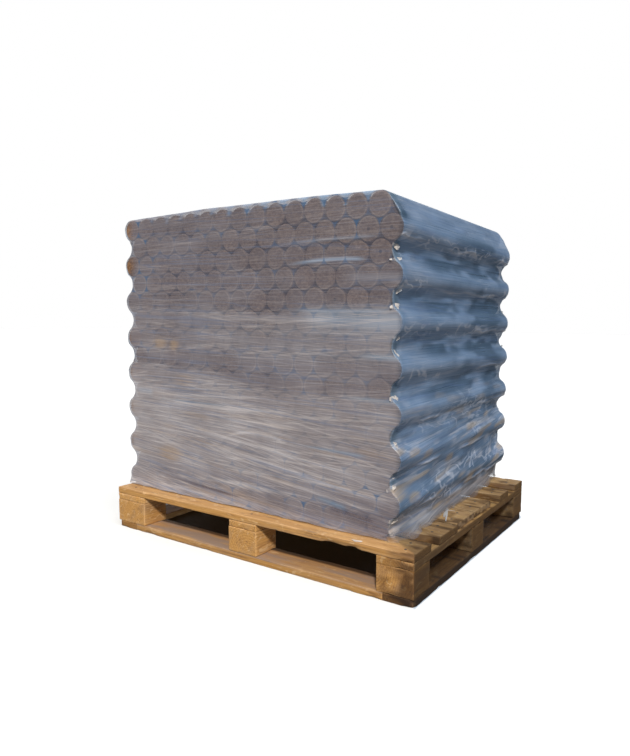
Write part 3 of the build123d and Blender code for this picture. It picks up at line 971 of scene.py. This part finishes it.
# %% Painted shade and light, and curls on the right side
ragged = 0.6 * lattice_noise(324, run * 6, climb * 15) + 0.4 * lattice_noise(325, run * 17, climb * 50)
sunken = ramp(depth_share, 0.25, 0.62) * ramp(depth_share, 0.98, 0.86) * is_right
# Painted shade in ragged patches over the middle and far part of the right side, less of it low down
deep = 0.85 * sunken * ramp(ragged, 0.36, 0.56) * (1 - 0.55 * low_part)
# Painted light: the top slope is lighter and has no painted shade
top_slope = ramp(height, 1.0, 1.03) * is_right
deep = deep * (1 - 0.85 * top_slope)
haze = haze + 0.06 * top_slope
# Painted reflection: a paler band under each log, with less painted shade there
underside = np.exp(-(((under_log + 0.032) / 0.014) ** 2)) * is_right * up_side * (1 - low_part)
deep = deep * (1 - 0.5 * underside)
# Painted shade on the upward slopes
up_slope = ramp(under_log, 0.008, 0.038) * ramp(depth_share, 0.10, 0.30) * is_right * up_side
deep = np.maximum(deep, 0.88 * up_slope * ramp(ragged, 0.25, 0.45) * (1 - 0.7 * low_part) * (1 - top_slope))
# Painted shade low on the right side
deep = np.maximum(deep, 0.8 * ramp(height, 0.38, 0.22) * ramp(ragged, 0.25, 0.5) * is_right * (1 - skirt))
# Painted shade at the near corner, in its hollows and on the top slope
corner_dim = ramp(depth_share, 0.05, 0.01) * in_valley
corner_dim = corner_dim + ramp(depth_share, 0.10, 0.01) * ramp(height, 1.0, 1.03)
deep = np.maximum(deep, np.clip(corner_dim, 0, 1) * is_right)
# More painted shade low on the right side
deep = np.maximum(deep, 0.5 * ramp(height, 0.46, 0.22) * is_right)
# Painted light: a lighter band just under each outer log
haze = haze + 0.14 * np.exp(-(((under_log + 0.012) / 0.011) ** 2)) * is_right * up_side * (1 - low_part)
haze = haze + 0.15 * underside
# Painted light in ragged patches close to the near corner
near_fan = ramp(depth_share, 0.28, 0.10) * ramp(depth_share, 0.01, 0.05) * is_right
near_fan = near_fan * ramp(under_log, -0.03, 0.0)
haze = haze + 0.16 * near_fan * ramp(ragged, 0.3, 0.55)
under_edge = np.exp(-(((under_log + 0.022) / 0.016) ** 2)) * (1 - low_part)
net = under_edge * ramp(lattice_noise(326, run * 6, turn_count), 0.38, 0.6)
net = (net + 0.7 * low_part * ramp(lattice_noise(327, run * 8, climb * 18), 0.5, 0.7)) * is_right * up_side
print("deep share of the right side:", round((deep * is_right).sum() / (is_right.sum() * len(deep)), 3))

# %% [markdown]
# All values go onto the mesh as point attributes, and the way round and up goes into a UV map, so that the
# streaks of the finish follow the winding. The lip on the top row has values of its own.

# %% Film piece
on_lip = ramp(lip_share, 0.0, 0.15)
lip_values = {"cover": 0.55, "haze": 0.10, "front": 0.35, "gaps": 0.0, "deep": 0.0, "veins": 0.0, "tan": 0.0}
side_values = {"cover": cover, "haze": haze, "front": front, "gaps": gaps}
side_values |= {"deep": deep, "veins": net, "tan": tan}
values = {key: (array + (lip_values[key] - array) * on_lip).ravel() for key, array in side_values.items()}

film_quads = grid_quads(*flat_x.shape, closed=True)
wrap = add_piece("stretch_wrap", film_points.reshape(-1, 3), [film_quads], wrap_finish, values)
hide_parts("stretch_film")
columns = flat_x.shape[1]
column = film_quads % columns
column[:, 1:3] = np.where(column[:, 1:3] == 0, columns, column[:, 1:3])
winding = np.column_stack([around[column.ravel()], winding_climb.ravel()[film_quads.ravel()]])
wrap.data.uv_layers.new(name="winding").data.foreach_set("uv", winding.astype(np.float32).ravel())

# %% [markdown]
# Where the film turns a corner it has too much width for the hollows between the rows, and it bunches into
# small white folds. A torn end of it lies on the deck. All these bits are one mesh: each is a small grid, a
# flat patch of two directions pushed about by noise, and a tail is the same patch drawn out long.

# %% Crumpled patches
patch_side = 5


def crumpled(centres, across, up, seed):
    """Patches of five by five points: centre + a * across + b * up, with a and b from -1 to 1, plus a push of
    up to a third of the patch's height along its normal and along itself."""
    steps = np.linspace(-1, 1, patch_side)
    a, b = np.meshgrid(steps, steps, indexing="ij")
    a, b = a[None, ..., None], b[None, ..., None]
    number = np.arange(len(centres))[:, None, None]
    noise_a, noise_b = a[..., 0] * 1.2 + 3.1 * number, b[..., 0] * 1.2 + 5.3 * number
    pushes = [lattice_noise(seed + k, noise_a, noise_b) - 0.5 for k in range(2)]
    size = np.linalg.norm(up, axis=1)[:, None, None, None]
    normal = np.cross(across, up)
    normal = (normal / np.linalg.norm(normal, axis=1, keepdims=True))[:, None, None]
    narrow = 1 - 0.6 * np.abs(a)
    flat = centres[:, None, None] + a * across[:, None, None] + b * narrow * up[:, None, None]
    return flat + 0.6 * size * pushes[0][..., None] * normal + 0.5 * pushes[1][..., None] * up[:, None, None]


def corner_folds(side, lengthwise, count, seed):
    """Places and directions of folds in the hollows of one upright corner."""
    rng = np.random.default_rng(seed)
    outer_row = 0 if side < 0 else 1
    rows = np.repeat(np.arange(1 - outer_row, rows_high - 1, 2), count)
    total = len(rows)
    from_axis = np.where(rng.random(total) < 0.7, -0.021, 0.020)
    z = row_axis(rows) + from_axis + rng.uniform(-0.007, 0.007, total)
    x = right_side(z, 0.94) + 0.001 if side > 0 else left_side(z, 0.94) - 0.001
    y = stack_front - 0.002 if lengthwise < 0 else stack_back + 0.002
    centres = np.column_stack([x, y - lengthwise * rng.uniform(0.006, 0.018, total), z])
    across_x = side * rng.uniform(0.2, 1, total)
    across_y = -lengthwise * rng.uniform(0.3, 1, total)
    across = np.column_stack([across_x, across_y, rng.uniform(-0.5, 0.5, total)])
    up = np.column_stack([side * rng.uniform(-0.3, 0.3, total), 0 * z, np.ones(total)])
    across = across * rng.uniform(0.007, 0.014, (total, 1))
    up = up * rng.uniform(0.005, 0.010, (total, 1))
    return centres, across, up


# Each corner: side along x, side along y, folds in a hollow, seed
fold_counts = [(1, -1, 3, 330), (-1, -1, 1, 331), (1, 1, 1, 332), (-1, 1, 1, 333)]
bits = [corner_folds(*choice) for choice in fold_counts]
print("corner folds:", sum(len(centres) for centres, across, up in bits))

# %% Torn tail, scrap and all the loose film
tail_from = np.array([(0.488, -0.024), (0.500, -0.030), (0.512, -0.046), (0.503, -0.066), (0.520, -0.085)])
tail_to = np.array([(0.524, -0.062), (0.548, -0.138), (0.557, -0.160), (0.541, -0.052), (0.536, -0.128)])
tail_mid, tail_half = (tail_from + tail_to) / 2, (tail_to - tail_from) / 2
tail_lift, tail_width = np.full(len(tail_mid), deck_top + 0.004), 0.0034
tail_across = np.column_stack([tail_half, -0.001 + 0 * tail_lift])
tail_side = np.column_stack([-tail_half[:, 1], tail_half[:, 0], 0 * tail_lift])
tail_up = tail_width * tail_side / np.linalg.norm(tail_half, axis=1)[:, None]
bits.append((np.column_stack([tail_mid, tail_lift]), tail_across, tail_up))
scrap = np.array([[(0.420, -0.4445, deck_top + 0.0028), (0.016, 0.0, -0.0005), (0.003, 0.006, 0.0)]])
bits.append((scrap[:, 0], scrap[:, 1], scrap[:, 2]))
patches = np.concatenate([crumpled(*bit, 340 + 2 * index) for index, bit in enumerate(bits)])
bit_count = len(patches)
bit_starts = patch_side**2 * np.arange(bit_count)[:, None, None]
bit_quads = (grid_quads(patch_side, patch_side)[None] + bit_starts).reshape(-1, 4)
fold_finish = Finish("folded_film", Base_Color=colour(0.66, 0.60, 0.55), Alpha=0.7, Roughness=0.4, IOR=1.46)
folds = add_piece("film_folds", patches.reshape(-1, 3), [bit_quads], fold_finish.material)
print("loose film bits:", bit_count)

# %% [markdown]
# The floor is a pale sheet with a patch of painted shade under the pallet, and the light is plain: a warm key
# from the front, a broad cool light from above, a weak fill and a bounce on the right, and one behind. A
# scrim dims the key on the right end, which lies in shade in the photo. The sky is white to the camera and
# dim to the object, as a photo studio's white wall is when the lamps point away from it.

# %% Floor
def add_floor():
    """A large flat square at floor height, pale but for a patch of painted shade under the pallet."""
    half = 40.0
    mesh = bpy.data.meshes.new("floor")
    corners = [(-half, -half, 0), (half, -half, 0), (half, half, 0), (-half, half, 0)]
    mesh.from_pydata(corners, [], [(0, 1, 2, 3)])
    finish = Finish("floor", Roughness=0.9)
    # Painted shade: the floor is dark inside the pallet's footprint and pale past its edge
    shares = {0: finish.place(), 1: (1 / 0.59, 1 / 0.44, 0)}
    past_edge = finish.add("ShaderNodeVectorMath", shares, operation="MULTIPLY")
    edge_x, edge_y = (finish.add("ShaderNodeSeparateXYZ", {0: past_edge}, output) for output in ("X", "Y"))
    furthest = finish.maths("MAXIMUM", finish.maths("ABSOLUTE", edge_x), finish.maths("ABSOLUTE", edge_y))
    open_floor = finish.remap(furthest, 0.96, 1.0)
    finish.wire(Base_Color=finish.blend(open_floor, colour(0.10, 0.09, 0.08), colour(0.79, 0.79, 0.79)))
    mesh.materials.append(finish.material)
    floor = bpy.data.objects.new("floor", mesh)
    bpy.context.collection.objects.link(floor)
    floor.visible_diffuse = floor.visible_glossy = False
    return floor


floor = add_floor()
print("stage:", floor.name)

# %% Scrim
def add_scrim():
    """A scrim, as studios call a cloth that dims a lamp: an upright sheet just past the right end that the
    camera doesn't see. It lets through about a third of the key, tinted like open sky."""
    outline = [(-0.452, 0), (0.452, 0), (0.452, 1.3), (-0.519, 1.3), (-0.519, 0.28), (-0.452, 0.16)]
    mesh = bpy.data.meshes.new("scrim")
    mesh.from_pydata([(0.602, y, z) for y, z in outline], [], [tuple(range(len(outline)))])
    finish = Finish("scrim")
    passed = finish.add("ShaderNodeBsdfTransparent", {"Color": colour(0.26, 0.33, 0.42)})
    finish.links.new(passed, finish.nodes["Material Output"].inputs["Surface"])
    mesh.materials.append(finish.material)
    scrim = bpy.data.objects.new("scrim", mesh)
    bpy.context.collection.objects.link(scrim)
    scrim.visible_camera = scrim.visible_diffuse = scrim.visible_glossy = scrim.visible_transmission = False
    return scrim


scrim = add_scrim()
print("stage:", scrim.name)

# %% Lights
def add_sun(name, towards, strength, tint, softness):
    """A soft sun whose light comes from the given direction."""
    light = bpy.data.lights.new(name, "SUN")
    light.energy, light.color, light.angle = strength, tint, radians(softness)
    lamp = bpy.data.objects.new(name, light)
    back = np.array(towards) / np.linalg.norm(towards)
    side = np.cross((0.0, 1.0, 0.3), back)
    side = side / np.linalg.norm(side)
    lamp.matrix_world = Matrix(np.column_stack([side, np.cross(back, side), back]).tolist()).to_4x4()
    bpy.context.collection.objects.link(lamp)
    return lamp


def pass_by(lamps, things):
    """Let the light of some lamps pass the floor and the scrim."""
    passed = bpy.data.collections.new("passed_by_light")
    for thing in things:
        passed.objects.link(thing)
    for member in passed.collection_objects:
        member.light_linking.link_state = "EXCLUDE"
    for lamp in lamps:
        lamp.light_linking.blocker_collection = passed


add_sun("key", (0.42, -0.625, 0.655), 4.2, (1.0, 0.95, 0.88), 6)
soft_lights = [
    add_sun("top", (0.40, -0.08, 0.95), 1.95, (0.82, 0.91, 1.0), 50),
    add_sun("fill", (1.0, -0.15, 0.0), 0.20, (0.85, 0.93, 1.0), 70),
    add_sun("bounce", (0.9, -0.25, -0.6), 0.50, (0.85, 0.92, 1.0), 60),
    add_sun("behind", (-0.7, 0.72, 0.12), 1.2, (0.92, 0.96, 1.0), 60),
]
pass_by(soft_lights, [floor, scrim])
print("lights:", [item.name for item in bpy.data.lights])

# %% Sky
def add_sky():
    """A world that is white to the camera and dim and bluish to everything else."""
    world = bpy.data.worlds.new("sky")
    world.use_nodes = True
    nodes, links = world.node_tree.nodes, world.node_tree.links
    dim = nodes["Background"]
    dim.inputs["Color"].default_value = colour(0.80, 0.90, 1.0)
    dim.inputs["Strength"].default_value = 0.06
    white = nodes.new("ShaderNodeBackground")
    white.inputs["Color"].default_value = colour(1, 1, 1)
    mix, path = nodes.new("ShaderNodeMixShader"), nodes.new("ShaderNodeLightPath")
    links.new(path.outputs["Is Camera Ray"], mix.inputs[0])
    links.new(dim.outputs[0], mix.inputs[1])
    links.new(white.outputs[0], mix.inputs[2])
    links.new(mix.outputs[0], nodes["World Output"].inputs["Surface"])
    bpy.context.scene.world = world


add_sky()
bpy.context.scene.view_settings.view_transform = "Standard"
print("sky:", bpy.context.scene.world.name)

# %% [markdown]
